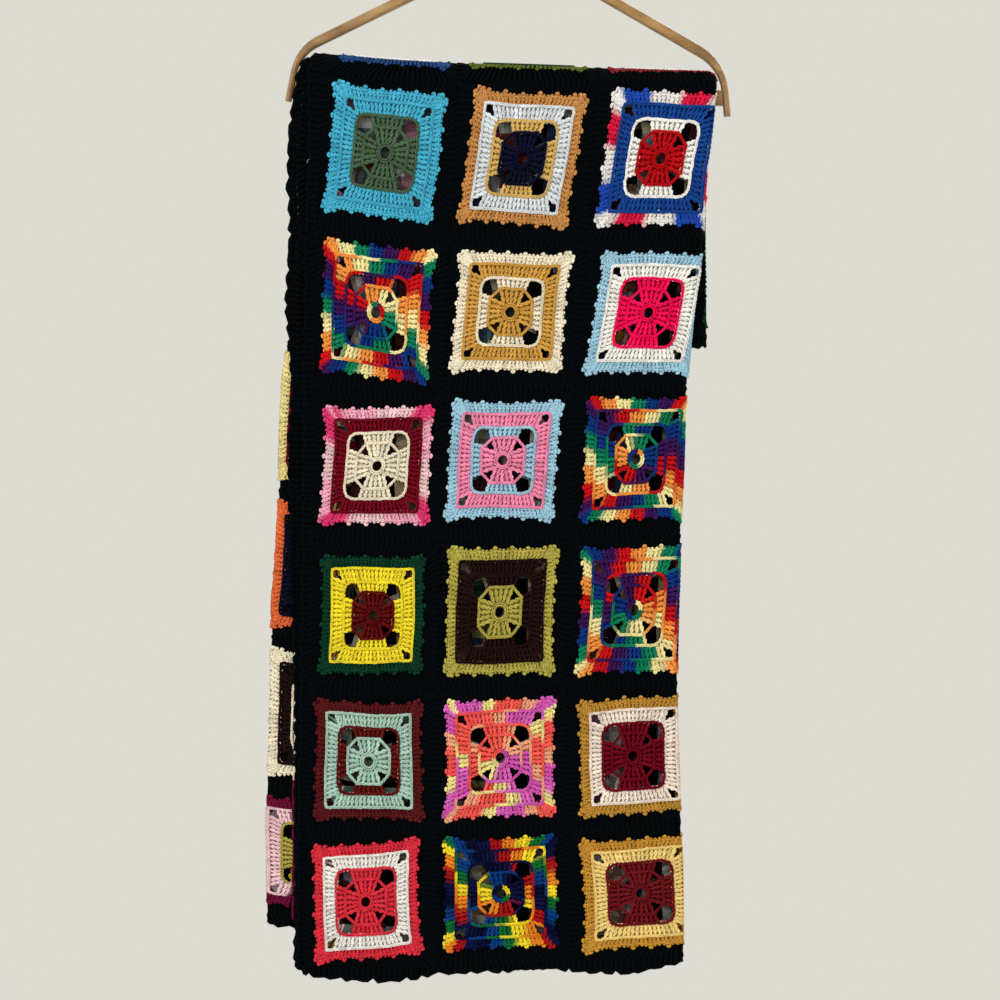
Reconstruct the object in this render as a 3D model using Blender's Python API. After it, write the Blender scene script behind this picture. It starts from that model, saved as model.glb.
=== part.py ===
"""A granny square blanket, folded in half twice along its length and hung over the bar of a wooden hanger.

Metres, +Z up. The hanging front faces -Y and +X is to its right. The origin is the point where the
hook bears on the rail that holds it up.

The blanket is worked out flat, as a distance across it from free edge A and a place along its rows.
Its section gives the x and the depth of each distance across, through four layers and three lengthwise
folds, and its drape carries that section up the front, over the bar and down the back.
"""

import math

import bmesh
import bpy
import numpy as np

# The flat blanket: squares joined in columns and rows, with one crocheted edging round them all.
COLUMNS = 12
ROWS = 8
SQUARE_PITCH = 0.1325
ROW_PITCH = 0.139
EDGING_WIDTH = 0.0085
CORNER_SHARE = 0.75
CLOTH = 0.0034
SEAM_GAP = 0.0003
BLANKET_WIDTH = COLUMNS * SQUARE_PITCH + 2 * EDGING_WIDTH

# The layers from the innermost, next to the bar, to the outermost, and the radii of the folds that join them.
LAYER_PITCH = 0.0046
STACK = 3 * LAYER_PITCH + CLOTH
WIDE_TURN = 1.5 * LAYER_PITCH
TIGHT_TURN = 0.5 * LAYER_PITCH

# Distances across the flat blanket from free edge A at which each lengthwise fold starts and ends.
OUTER_FOLD_START = 0.3784
OUTER_FOLD_END = OUTER_FOLD_START + math.pi * WIDE_TURN
LEFT_FOLD_START = 0.8126
LEFT_FOLD_END = LEFT_FOLD_START + math.pi * TIGHT_TURN
INNER_FOLD_START = 1.2226
INNER_FOLD_END = INNER_FOLD_START + math.pi * TIGHT_TURN
INNER_FOLD_BACK = 0.004

# The hanger's bar, and the curve that the blanket makes over it.
BAR_DEPTH = 0.008
BAR_HEIGHT = 0.015
BAR_TOP_RIGHT = (0.2024, -0.2166)
BAR_SLOPE = 0.028
BAR_EDGE_RADIUS = 0.0012
BAR_CLEARANCE = 0.0025
INNER_RADIUS = BAR_DEPTH / 2 + BAR_CLEARANCE
OUTER_RADIUS = INNER_RADIUS + STACK
ARC_RADIUS = OUTER_RADIUS - CLOTH / 2
QUARTER_ARC = ARC_RADIUS * math.pi / 2

# Height of the blanket's top line, from its left end to its right end. Columns: x, height.
CREST = (
    (-0.202, -0.1787),
    (-0.175, -0.1807),
    (-0.139, -0.1842),
    (-0.079, -0.1878),
    (-0.018, -0.1903),
    (0.083, -0.1936),
    (0.196, -0.1969),
)

# Length of cloth from the top line down to each edge between rows, negative down the back.
# Columns: row edge, length at free edge A, length at the right fold.
DROPS = (
    (0, 0.9328, 0.9038),
    (1, 0.7938, 0.7698),
    (2, 0.6518, 0.6298),
    (3, 0.5038, 0.4828),
    (4, 0.3538, 0.3338),
    (5, 0.2018, 0.1848),
    (6, 0.0378, 0.0268),
    (7, -0.1150, -0.1260),
    (8, -0.2680, -0.2790),
)
# The rows between which some layer is turning over the bar.
TURN_STARTS = 5.62
TURN_ENDS = 6.52
# The left fold and free edge B ride higher on the front than free edge A does.
LEFT_FOLD_LIFT = 0.048
FREE_EDGE_B_LIFT = 0.005

# Side edges of the layers at each length of cloth below the top line.
# Columns: length, x of free edge A, of the right fold, of the left fold and of free edge B.
SIDES = (
    (-0.300, -0.212, 0.193, -0.218, -0.220),
    (-0.060, -0.211, 0.195, -0.217, -0.220),
    (0.000, -0.205, 0.200, -0.211, -0.213),
    (0.026, -0.209, 0.200, -0.213, -0.219),
    (0.058, -0.210, 0.196, -0.216, -0.225),
    (0.118, -0.210, 0.190, -0.220, -0.231),
    (0.198, -0.213, 0.185, -0.222, -0.230),
    (0.268, -0.214, 0.176, -0.228, -0.233),
    (0.346, -0.215, 0.169, -0.238, -0.228),
    (0.418, -0.215, 0.166, -0.241, -0.230),
    (0.495, -0.216, 0.163, -0.243, -0.229),
    (0.568, -0.217, 0.161, -0.248, -0.227),
    (0.643, -0.218, 0.160, -0.250, -0.224),
    (0.784, -0.220, 0.164, -0.253, -0.224),
    (0.928, -0.221, 0.167, -0.253, -0.224),
)

# Slow waves in depth, which grow below the bar. Columns: size, length across, length down, phase.
WAVES = (
    (0.0030, 0.42, 1.10, 0.6),
    (0.0007, 0.24, 0.60, 2.1),
)
WAVE_STARTS = -0.26
WAVE_FULL = -0.50

# The bent wood rod: two shoulders and two short legs. Columns: x, z, bend radius.
ROD = (
    (-0.2321, -0.2272, 0.0),
    (-0.2220, -0.1766, 0.044),
    (-0.0026, -0.0690, 0.060),
    (0.2075, -0.1905, 0.052),
    (0.2121, -0.2423, 0.0),
)
ROD_DEPTH = 0.011
ROD_HEIGHT = 0.010
LEG_WIDTH = 0.0066
LEG_TAPER = 0.075
ROD_EDGE_RADIUS = 0.003
BEND_STEPS = 6
EDGE_STEPS = 2

# The wire hook. It stands square to the hanger, which hangs a little askew.
HANGER_TILT = math.radians(1.9)
WIRE_RADIUS = 0.0016
HOOK_INNER_RADIUS = 0.019
HOOK_TIP_ANGLE = math.radians(200)
HOOK_NECK_ANGLE = math.radians(-50)
HOOK_NECK_RADIUS = 0.014
HOOK_ARC_STEPS = 22
SHANK_END = -0.0824
RIVET_RADIUS = 0.0034
RIVET_HEIGHT = 0.0016
RIVET_STEP = 0.00003
WIRE_SIDES = 10
DRILL_LENGTH = 0.040
DRILL_MIDDLE = SHANK_END + 0.010
DRILL_SIDES = 16

# How many faces each stretch of the cloth has: between the folds and round them, and along the rows.
STEPS_ACROSS = (7, 8, 6, 6, 6, 6, 7)
STEPS_ALONG = (11, 18, 4)
SHARP_ANGLE = math.radians(40)


def clear_scene():
    for existing in list(bpy.data.objects):
        bpy.data.objects.remove(existing, do_unlink=True)


def make_material(name, colour, roughness, metallic=0.0):
    material = bpy.data.materials.new(name)
    material.use_nodes = True
    shader = material.node_tree.nodes["Principled BSDF"]
    shader.inputs["Base Color"].default_value = (*colour, 1.0)
    shader.inputs["Roughness"].default_value = roughness
    shader.inputs["Metallic"].default_value = metallic
    return material


def make_object(name, points, faces, material):
    """One closed mesh, its faces turned outward and shaded smooth across its round edges."""
    mesh = bpy.data.meshes.new(name)
    mesh.from_pydata([tuple(point) for point in points], [], faces)
    work = bmesh.new()
    work.from_mesh(mesh)
    bmesh.ops.recalc_face_normals(work, faces=work.faces)
    work.to_mesh(mesh)
    work.free()
    mesh.shade_smooth()
    mesh.set_sharp_from_angle(angle=SHARP_ANGLE)
    made = bpy.data.objects.new(name, mesh)
    made.data.materials.append(material)
    bpy.context.scene.collection.objects.link(made)
    return made


def smooth_table(table, at):
    """Every column of a table at the given place, on a smooth curve through its rows and straight past its ends."""
    table = np.array(table, float)
    keys = table[:, 0]
    slopes = np.gradient(table[:, 1:], keys, axis=0)
    row = int(np.clip(np.searchsorted(keys, at) - 1, 0, len(keys) - 2))
    step = keys[row + 1] - keys[row]
    share = (at - keys[row]) / step
    first, second = table[row, 1:], table[row + 1, 1:]
    if share < 0.0:
        return first + slopes[row] * step * share
    if share > 1.0:
        return second + slopes[row + 1] * step * (share - 1.0)
    return (
        first * (1 + 2 * share) * (1 - share) ** 2
        + second * share**2 * (3 - 2 * share)
        + slopes[row] * step * share * (1 - share) ** 2
        - slopes[row + 1] * step * share**2 * (1 - share)
    )


def mix(first, second, share):
    return first + (second - first) * share


def cloth_drop(across, row):
    """Length of cloth from the top line down to this place of the flat blanket."""
    at_edge_a, at_fold = smooth_table(DROPS, row)
    at_left_fold = at_edge_a - LEFT_FOLD_LIFT
    at_edge_b = at_edge_a - FREE_EDGE_B_LIFT
    places = (0.0, OUTER_FOLD_START, OUTER_FOLD_END, LEFT_FOLD_START, LEFT_FOLD_END)
    places += (INNER_FOLD_START, INNER_FOLD_END, BLANKET_WIDTH)
    drops = (at_edge_a, at_fold, at_fold, at_left_fold, at_left_fold, at_fold, at_fold, at_edge_b)
    return float(np.interp(across, places, drops))


def cloth_section(across, drop):
    """(x, depth, normal's x, normal's depth) of the cloth's middle. Depth 0 is the face next to the bar."""
    edge_a, right_fold, left_fold, edge_b = smooth_table(SIDES, drop)
    right_turn = right_fold - WIDE_TURN - CLOTH / 2
    left_turn = left_fold + TIGHT_TURN + CLOTH / 2
    inner_turn = right_turn - INNER_FOLD_BACK
    innermost = CLOTH / 2
    if across <= OUTER_FOLD_START:
        x = mix(edge_a, right_turn, across / OUTER_FOLD_START)
        return x, innermost + 3 * LAYER_PITCH, 0.0, 1.0
    if across < OUTER_FOLD_END:
        angle = (across - OUTER_FOLD_START) / WIDE_TURN
        side, out = math.sin(angle), math.cos(angle)
        return right_turn + WIDE_TURN * side, innermost + WIDE_TURN * (1 + out), side, out
    if across <= LEFT_FOLD_START:
        share = (across - OUTER_FOLD_END) / (LEFT_FOLD_START - OUTER_FOLD_END)
        return mix(right_turn, left_turn, share), innermost, 0.0, -1.0
    if across < LEFT_FOLD_END:
        angle = (across - LEFT_FOLD_START) / TIGHT_TURN
        side, out = -math.sin(angle), -math.cos(angle)
        return left_turn + TIGHT_TURN * side, innermost + TIGHT_TURN * (1 + out), side, out
    if across <= INNER_FOLD_START:
        share = (across - LEFT_FOLD_END) / (INNER_FOLD_START - LEFT_FOLD_END)
        return mix(left_turn, inner_turn, share), innermost + LAYER_PITCH, 0.0, 1.0
    if across < INNER_FOLD_END:
        angle = (across - INNER_FOLD_START) / TIGHT_TURN
        side, out = math.sin(angle), -math.cos(angle)
        middle = innermost + LAYER_PITCH + TIGHT_TURN
        return inner_turn + TIGHT_TURN * side, middle + TIGHT_TURN * out, -side, -out
    share = (across - INNER_FOLD_END) / (BLANKET_WIDTH - INNER_FOLD_END)
    return mix(inner_turn, edge_b, share), innermost + 2 * LAYER_PITCH, 0.0, -1.0


def wave_depth(x, z):
    grown = float(np.clip((WAVE_STARTS - z) / (WAVE_STARTS - WAVE_FULL), 0.0, 1.0))
    grown *= grown * (3 - 2 * grown)
    waves = (
        size * math.sin(2 * math.pi * (x / across + z / down) + phase)
        for size, across, down, phase in WAVES
    )
    return grown * sum(waves)


def cloth_point(across, row, height):
    """Where a place of the flat blanket hangs, height above the middle of the cloth on its right side."""
    drop = cloth_drop(across, row)
    x, depth, normal_x, normal_depth = cloth_section(across, drop)
    x += height * normal_x
    radius = INNER_RADIUS + depth + height * normal_depth
    centre = float(smooth_table(CREST, x)[0]) - OUTER_RADIUS
    if abs(drop) < QUARTER_ARC:
        angle = drop / ARC_RADIUS
        return x, -radius * math.sin(angle), centre + radius * math.cos(angle)
    z = centre - (abs(drop) - QUARTER_ARC)
    y = -math.copysign(radius, drop)
    return x, y + wave_depth(x, z), z


def spread(start, end, steps):
    return list(np.linspace(start, end, steps + 1)[:-1])


def stations(edges, steps):
    """Places from the first edge to the last, with the given number of steps from each edge to the next."""
    places = []
    for start, end, many in zip(edges, edges[1:], steps):
        places += spread(start, end, many)
    return [*places, edges[-1]]


def stations_across():
    """Distances across the joined squares, closer together round the folds."""
    outer_fold = (OUTER_FOLD_START, OUTER_FOLD_END)
    left_fold = (LEFT_FOLD_START, LEFT_FOLD_END)
    inner_fold = (INNER_FOLD_START, INNER_FOLD_END)
    edges = (EDGING_WIDTH, *outer_fold, *left_fold, *inner_fold, BLANKET_WIDTH - EDGING_WIDTH)
    return stations(edges, STEPS_ACROSS)


def stations_along():
    """Places along the rows: two to each hanging row, and more where the cloth turns over the bar."""
    return stations((0.0, TURN_STARTS, TURN_ENDS, float(ROWS)), STEPS_ALONG)


def make_panel(material):
    """The joined squares, as one sheet."""
    across = stations_across()
    along = stations_along()
    points = [
        cloth_point(place, row, side * CLOTH / 2)
        for side in (-1, 1)
        for place in across
        for row in along
    ]
    many, rows = len(across), len(along)

    def corner(side, column, row):
        return (side * many + column) * rows + row

    faces = []
    for column in range(many - 1):
        for row in range(rows - 1):
            for side in (0, 1):
                faces.append(
                    (
                        corner(side, column, row),
                        corner(side, column + 1, row),
                        corner(side, column + 1, row + 1),
                        corner(side, column, row + 1),
                    )
                )
    rim = [(column, 0) for column in range(many - 1)]
    rim += [(many - 1, row) for row in range(rows - 1)]
    rim += [(column, rows - 1) for column in range(many - 1, 0, -1)]
    rim += [(0, row) for row in range(rows - 1, 0, -1)]
    for first, second in zip(rim, rim[1:] + rim[:1]):
        faces.append((corner(0, *first), corner(0, *second), corner(1, *second), corner(1, *first)))
    return make_object("blanket_panel", points, faces, material)


def moved(place, direction, distance):
    """A flat place moved by a distance across the blanket and along its rows."""
    return place[0] + direction[0] * distance, place[1] + direction[1] * distance / ROW_PITCH


def edging_outline():
    """Pairs of flat places, the edging's inner line and outer line, once round the blanket."""
    across = stations_across()
    along = stations_along()
    sides = [
        ([(place, along[0]) for place in across], (0, -1), (1, -1)),
        ([(across[-1], row) for row in along], (1, 0), (1, 1)),
        ([(place, along[-1]) for place in reversed(across)], (0, 1), (-1, 1)),
        ([(across[0], row) for row in reversed(along)], (-1, 0), (-1, -1)),
    ]
    pairs = []
    for line, outward, corner in sides:
        for place in line:
            pairs.append((moved(place, outward, SEAM_GAP), moved(place, outward, EDGING_WIDTH)))
        rounded = moved(line[-1], corner, CORNER_SHARE * EDGING_WIDTH)
        pairs.append((moved(line[-1], corner, SEAM_GAP), rounded))
    return pairs


def make_edging(material):
    """The crocheted edging, as one closed band round the joined squares."""
    pairs = edging_outline()
    points = []
    for inner, outer in pairs:
        for place in (inner, outer):
            points += [cloth_point(*place, side * CLOTH / 2) for side in (-1, 1)]
    faces = []
    for index in range(len(pairs)):
        here, after = 4 * index, 4 * ((index + 1) % len(pairs))
        for first, second in ((0, 1), (1, 3), (3, 2), (2, 0)):
            faces.append((here + first, here + second, after + second, after + first))
    return make_object("edging", points, faces, material)


def rounded_route(corners):
    """Points along straight runs joined by arcs, from rows of x, z and bend radius."""
    corners = [(np.array(corner[:2], float), corner[2]) for corner in corners]
    route = [corners[0][0]]
    for before, (here, radius), after in zip(corners, corners[1:-1], corners[2:]):
        into = (here - before[0]) / np.linalg.norm(here - before[0])
        out = (after[0] - here) / np.linalg.norm(after[0] - here)
        turn = math.acos(float(np.clip(into @ out, -1.0, 1.0)))
        reach = radius * math.tan(turn / 2)
        towards_centre = (out - into) / np.linalg.norm(out - into)
        centre = here + towards_centre * math.hypot(reach, radius)
        start = here - into * reach - centre
        for step in range(BEND_STEPS + 1):
            angle = turn * step / BEND_STEPS
            along = radius * math.sin(angle) * into
            route.append(centre + start * math.cos(angle) + along)
    route.append(corners[-1][0])
    return np.array(route)


def route_sides(route):
    """Unit vectors across a flat route, square to it at each point."""
    runs = np.diff(route, axis=0)
    runs /= np.linalg.norm(runs, axis=1)[:, None]
    along = np.vstack([runs[:1], runs[:-1] + runs[1:], runs[-1:]])
    along /= np.linalg.norm(along, axis=1)[:, None]
    return np.column_stack([-along[:, 1], along[:, 0]])


def make_sweep(name, route, sections, material):
    """A solid along a route in the XZ plane. Each section is a ring of (across, depth) points."""
    sides = route_sides(route)
    points = []
    for place, side, section in zip(route, sides, sections):
        for across, depth in section:
            points.append((place[0] + side[0] * across, depth, place[1] + side[1] * across))
    ring = len(sections[0])
    faces = [tuple(range(ring)), tuple(range(len(points) - ring, len(points)))]
    for index in range(len(route) - 1):
        for corner in range(ring):
            after = (corner + 1) % ring
            first, second = index * ring, (index + 1) * ring
            faces.append((first + corner, first + after, second + after, second + corner))
    return make_object(name, points, faces, material)


def rounded_section(width, depth, radius):
    """Corners of a rectangle with rounded edges, as (across, depth)."""
    ring = []
    for quarter in range(4):
        middle = math.pi / 4 + quarter * math.pi / 2
        across = math.copysign(width / 2 - radius, math.cos(middle))
        out = math.copysign(depth / 2 - radius, math.sin(middle))
        for step in range(EDGE_STEPS + 1):
            angle = quarter * math.pi / 2 + math.pi / 2 * step / EDGE_STEPS
            ring.append((across + radius * math.cos(angle), out + radius * math.sin(angle)))
    return ring


def rod_widths(route):
    """Width of the rod at each point of its route: full shoulders that narrow along each leg."""
    lengths = np.concatenate([[0.0], np.cumsum(np.linalg.norm(np.diff(route, axis=0), axis=1))])
    from_end = np.minimum(lengths, lengths[-1] - lengths)
    return np.interp(from_end, [0.0, LEG_TAPER / 2, LEG_TAPER], [LEG_WIDTH, LEG_WIDTH, ROD_HEIGHT])


def make_shoulders(route, widths, material):
    """The bent rod, drilled through at its top for the hook's shank."""
    sections = [rounded_section(width, ROD_DEPTH, ROD_EDGE_RADIUS) for width in widths]
    shoulders = make_sweep("hanger_shoulders", route, sections, material)
    bpy.ops.mesh.primitive_cylinder_add(
        vertices=DRILL_SIDES,
        radius=WIRE_RADIUS + SEAM_GAP,
        depth=DRILL_LENGTH,
        location=hanger_place(0.0, DRILL_MIDDLE),
        rotation=(0.0, HANGER_TILT, 0.0),
    )
    drill = bpy.context.active_object
    drill.name = "shank_drill"
    drill.hide_render = True
    drill.display_type = "WIRE"
    cut = shoulders.modifiers.new("shank_hole", "BOOLEAN")
    cut.operation = "DIFFERENCE"
    cut.object = drill


def hanger_place(x, z):
    """A place of the level hanger in the tilted one."""
    cosine, sine = math.cos(HANGER_TILT), math.sin(HANGER_TILT)
    return (x * cosine + z * sine, 0.0, z * cosine - x * sine)


def make_bar(route, widths, material):
    """The flat bar, its ends butted against the insides of the legs."""
    inner_line = route + route_sides(route) * -widths[:, None] / 2
    middle = len(route) // 2
    left_side, right_side = inner_line[:middle], inner_line[middle:]
    section = rounded_section(BAR_HEIGHT, BAR_DEPTH, BAR_EDGE_RADIUS)
    points = []
    for leg, inward in ((left_side, 1), (right_side, -1)):
        order = np.argsort(leg[:, 1])
        for across, depth in section:
            end = float(leg[order][0][0])
            for _ in range(3):
                z = BAR_TOP_RIGHT[1] - BAR_HEIGHT / 2 + across + BAR_SLOPE * (BAR_TOP_RIGHT[0] - end)
                end = float(np.interp(z, leg[order][:, 1], leg[order][:, 0])) + inward * SEAM_GAP
            points.append((end, depth, z))
    ring = len(section)
    faces = [tuple(range(ring)), tuple(range(ring, 2 * ring))]
    for corner in range(ring):
        after = (corner + 1) % ring
        faces.append((corner, after, ring + after, ring + corner))
    return make_object("hanger_bar", points, faces, material)


def make_hook(material):
    """A round wire hook on a shank that passes through the rod and ends in a rivet head."""
    middle = HOOK_INNER_RADIUS + WIRE_RADIUS
    centre = WIRE_RADIUS - middle
    angles = np.linspace(HOOK_TIP_ANGLE, HOOK_NECK_ANGLE, HOOK_ARC_STEPS + 1)
    level = [(middle * math.cos(angle), centre + middle * math.sin(angle)) for angle in angles]
    neck = level[-1]
    fall = (math.sin(HOOK_NECK_ANGLE), -math.cos(HOOK_NECK_ANGLE))
    meets_shank = (0.0, neck[1] - neck[0] * fall[1] / fall[0])
    tail = rounded_route([(*neck, 0.0), (*meets_shank, HOOK_NECK_RADIUS), (0.0, SHANK_END, 0.0)])
    level += [tuple(point) for point in tail[1:]]
    radii = [WIRE_RADIUS] * len(level)
    for depth in (RIVET_STEP, RIVET_HEIGHT):
        level.append((0.0, SHANK_END - depth))
        radii.append(RIVET_RADIUS)
    route = np.array([hanger_place(*point)[::2] for point in level])
    turns = [2 * math.pi * side / WIRE_SIDES for side in range(WIRE_SIDES)]
    sections = [[(radius * math.cos(turn), radius * math.sin(turn)) for turn in turns] for radius in radii]
    return make_sweep("hanger_hook", route, sections, material)


def main():
    clear_scene()
    black_yarn = make_material("black_yarn", (0.006, 0.008, 0.013), 0.95)
    edging_yarn = make_material("edging_yarn", (0.008, 0.011, 0.018), 0.95)
    wood = make_material("bent_wood", (0.42, 0.26, 0.11), 0.45)
    steel = make_material("steel_wire", (0.55, 0.56, 0.58), 0.3, 1.0)
    make_panel(black_yarn)
    make_edging(edging_yarn)
    route = rounded_route(ROD)
    widths = rod_widths(route)
    make_shoulders(route, widths, wood)
    make_bar(route, widths, wood)
    make_hook(steel)


main()
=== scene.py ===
"""Looks of a granny square blanket that hangs, folded in half twice, over the bar of a wooden hanger.

The blanket's CAD solids are replaced by crochet: a thin backing sheet with the crochet's real holes, in
the yarn's colours darkened as painted shade for the gaps between stitches, and stitches of twisted yarn on
it. Both are worked out on the flat blanket, in metres across it and in rows along it, and then carried to
where the cloth hangs by the same folds and drape that the CAD solids have.
"""

import math
from collections import namedtuple

import bpy
import numpy as np
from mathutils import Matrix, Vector


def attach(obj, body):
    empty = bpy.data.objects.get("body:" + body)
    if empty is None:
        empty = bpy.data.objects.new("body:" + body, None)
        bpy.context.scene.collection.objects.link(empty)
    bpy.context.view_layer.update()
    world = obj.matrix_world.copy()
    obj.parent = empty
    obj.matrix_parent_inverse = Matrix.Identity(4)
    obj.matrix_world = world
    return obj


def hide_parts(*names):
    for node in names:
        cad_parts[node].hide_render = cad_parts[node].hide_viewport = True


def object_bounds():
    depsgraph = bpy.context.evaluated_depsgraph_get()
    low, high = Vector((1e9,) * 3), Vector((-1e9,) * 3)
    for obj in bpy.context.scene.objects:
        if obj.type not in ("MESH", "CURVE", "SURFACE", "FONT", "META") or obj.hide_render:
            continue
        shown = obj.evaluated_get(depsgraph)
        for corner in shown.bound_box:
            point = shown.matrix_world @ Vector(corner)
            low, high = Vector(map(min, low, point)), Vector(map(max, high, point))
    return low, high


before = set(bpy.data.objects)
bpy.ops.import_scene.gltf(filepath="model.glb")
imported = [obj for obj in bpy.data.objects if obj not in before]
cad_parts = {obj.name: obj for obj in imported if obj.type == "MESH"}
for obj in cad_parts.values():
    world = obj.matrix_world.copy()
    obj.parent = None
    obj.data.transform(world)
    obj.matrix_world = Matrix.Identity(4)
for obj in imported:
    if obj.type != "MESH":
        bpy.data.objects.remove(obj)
CAD_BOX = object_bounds()

# The flat blanket, as the CAD model has it: squares in columns and rows with an edging round them all.
COLUMNS = 12
ROWS = 8
SQUARE_PITCH = 0.1325
ROW_PITCH = 0.139
EDGING_WIDTH = 0.0085
CLOTH = 0.0034
BLANKET_WIDTH = COLUMNS * SQUARE_PITCH + 2 * EDGING_WIDTH
MILLIMETRES = 1000

# The layers, from the innermost, next to the bar, outwards, and the radii of the folds that join them.
LAYER_PITCH = 0.0046
STACK = 3 * LAYER_PITCH + CLOTH
WIDE_TURN = 1.5 * LAYER_PITCH
TIGHT_TURN = 0.5 * LAYER_PITCH

# The outer, left and inner lengthwise folds: distance across the flat blanket from free edge A at which each
# starts, and its radius. They part the blanket into stretches, flat and folded by turns.
FOLDS = ((0.3784, WIDE_TURN), (0.8126, TIGHT_TURN), (1.2226, TIGHT_TURN))
FOLD_PLACES = [place for start, turn in FOLDS for place in (start, start + math.pi * turn)]
STRETCHES = np.array([0.0, *FOLD_PLACES, BLANKET_WIDTH])
INNER_FOLD_BACK = 0.004

# The curve that the blanket makes over the bar.
INNER_RADIUS = 0.0065
OUTER_RADIUS = INNER_RADIUS + STACK
ARC_RADIUS = OUTER_RADIUS - CLOTH / 2
QUARTER_ARC = ARC_RADIUS * math.pi / 2

# Height of the blanket's top line: x, height.
CREST = (
    (-0.202, -0.1787),
    (-0.175, -0.1807),
    (-0.139, -0.1842),
    (-0.079, -0.1878),
    (-0.018, -0.1903),
    (0.083, -0.1936),
    (0.196, -0.1969),
)

# Length of cloth from the top line down to each edge between rows, negative down the back.
# Columns: row edge, length at free edge A, length at the right fold.
DROPS = (
    (0, 0.9328, 0.9038),
    (1, 0.7938, 0.7698),
    (2, 0.6518, 0.6298),
    (3, 0.5038, 0.4828),
    (4, 0.3538, 0.3338),
    (5, 0.2018, 0.1848),
    (6, 0.0378, 0.0268),
    (7, -0.1150, -0.1260),
    (8, -0.2680, -0.2790),
)
# The left fold and free edge B ride higher on the front than free edge A does.
LEFT_FOLD_LIFT = 0.048
FREE_EDGE_B_LIFT = 0.005

# Side edges of the layers at each length of cloth below the top line.
# Columns: length, x of free edge A, of the right fold, of the left fold and of free edge B.
SIDES = (
    (-0.300, -0.212, 0.193, -0.218, -0.220),
    (-0.060, -0.211, 0.195, -0.217, -0.220),
    (0.000, -0.205, 0.200, -0.211, -0.213),
    (0.026, -0.209, 0.200, -0.213, -0.219),
    (0.058, -0.210, 0.196, -0.216, -0.225),
    (0.118, -0.210, 0.190, -0.220, -0.231),
    (0.198, -0.213, 0.185, -0.222, -0.230),
    (0.268, -0.214, 0.176, -0.228, -0.233),
    (0.346, -0.215, 0.169, -0.238, -0.228),
    (0.418, -0.215, 0.166, -0.241, -0.230),
    (0.495, -0.216, 0.163, -0.243, -0.229),
    (0.568, -0.217, 0.161, -0.248, -0.227),
    (0.643, -0.218, 0.160, -0.250, -0.224),
    (0.784, -0.220, 0.164, -0.253, -0.224),
    (0.928, -0.221, 0.167, -0.253, -0.224),
)

# Slow waves in depth that grow below the bar: size, length across, length down, phase.
WAVES = (
    (0.0030, 0.42, 1.10, 0.6),
    (0.0007, 0.24, 0.60, 2.1),
)
WAVE_STARTS = -0.26
WAVE_FULL = -0.50

# A square, in millimetres from its middle. What pulls it about holds in full out to COLOURED, and fades to
# nothing at HALF_CELL, where it is joined to the next. Its first round is a ring of posts.
HALF_CELL = MILLIMETRES * SQUARE_PITCH / 2
COLOURED = 60.0
RING_INNER = 5.0
RING_OUTER = 9.8
RING_STITCHES = 14

# The square rounds: level and reach of the posts' inner and outer ends, posts on a side and in a corner.
Round = namedtuple("Round", "level_in level_out reach_in reach_out on_side in_corner")
ROUNDS = (
    Round(10.4, 22.9, 7.0, 12.3, 5, 0),
    Round(22.9, 33.0, 13.0, 16.6, 7, 0),
    Round(33.0, 46.4, 32.0, 37.6, 17, 0),
    Round(46.4, 57.2, 43.6, 49.6, 23, 5),
    Round(57.2, 66.0, 51.8, 60.5, 24, 3),
)

# Corner of each round's chain, between the ends of two sides: points as (across, along).
CORNERS = (
    ((15.8, 19.6), (19.6, 15.8)),
    ((21.0, 33.4), (26.0, 32.6), (30.4, 30.4), (32.6, 26.0), (33.4, 21.0)),
    ((42.0, 46.7), (46.2, 46.2), (46.7, 42.0)),
    ((51.0, 58.0), (54.6, 58.4), (56.4, 56.4), (58.4, 54.6), (58.0, 51.0)),
    ((64.0, 66.1), (66.1, 66.1), (66.1, 64.0)),
)

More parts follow.
